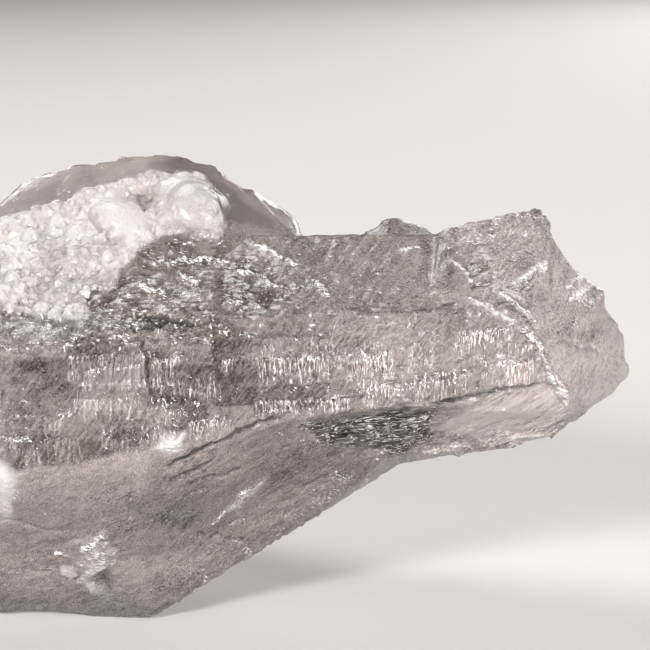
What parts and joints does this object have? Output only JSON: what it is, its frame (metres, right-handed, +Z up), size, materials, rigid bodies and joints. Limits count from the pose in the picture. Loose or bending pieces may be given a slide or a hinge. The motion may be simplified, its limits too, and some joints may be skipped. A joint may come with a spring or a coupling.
{
  "type": "raw quartz crystal",
  "caption": "Rough rock crystal specimen with striated prism face, broken tip, shell-shaped fractures and a milky sugary crust, lying on a flat foot.",
  "frame": {"origin": "on the surface it rests on, under the middle of its outline", "axes": "+Z up; +X along the crystal from its root to its broken tip; the striated front face looks towards -Y"},
  "size_m": [0.15, 0.054, 0.0744],
  "materials": {
    "rock_crystal": "natural faces, satin with fine striations; fractures glossy to satin; faintly smoky, with cloudy veils inside",
    "milky_crust": "sugary, white, matt with small bright faces and a few rusty specks"
  },
  "bodies": {
    "root": {"crystal": "rock_crystal"}
  },
  "joints": []
}
